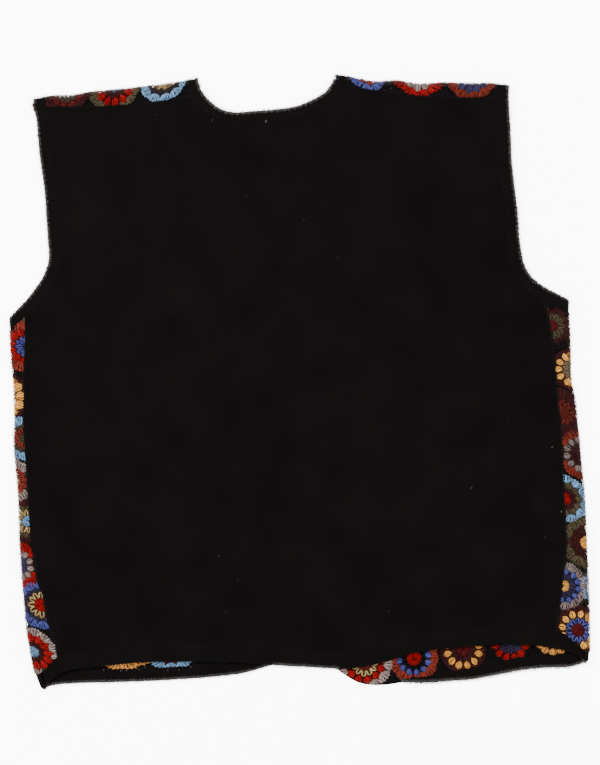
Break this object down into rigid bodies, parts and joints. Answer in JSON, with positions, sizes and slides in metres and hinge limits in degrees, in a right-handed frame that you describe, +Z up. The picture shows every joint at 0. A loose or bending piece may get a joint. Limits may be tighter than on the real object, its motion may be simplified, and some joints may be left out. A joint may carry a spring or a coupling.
{
  "type": "sleeveless cardigan with crochet motif fronts",
  "caption": "Sleeveless crochet cardigan laid flat on its front: plain black knitted back, fronts of joined multicolour crochet rounds wrapped over shoulders and sides, ribbed edgings",
  "frame": {"origin": "centre of the bounding box, on the surface that the garment lies on", "axes": "+Z up from the surface through the back panel, +Y towards the neck, +X towards the wearer's right side"},
  "size_m": [0.5268, 0.5572, 0.0079],
  "materials": {
    "knit_black": "fine machine-knit wool",
    "rib_black": "ribbed wool edging",
    "crochet_rounds": "crocheted wool rounds in many colours"
  },
  "bodies": {
    "root": {"back_panel": "knit_black", "front_left": "crochet_rounds", "front_right": "crochet_rounds", "armhole_band_left": "rib_black", "armhole_band_right": "rib_black", "neck_band": "rib_black", "hem_band_back": "rib_black", "hem_band_front_left": "rib_black", "hem_band_front_right": "rib_black"}
  },
  "joints": []
}
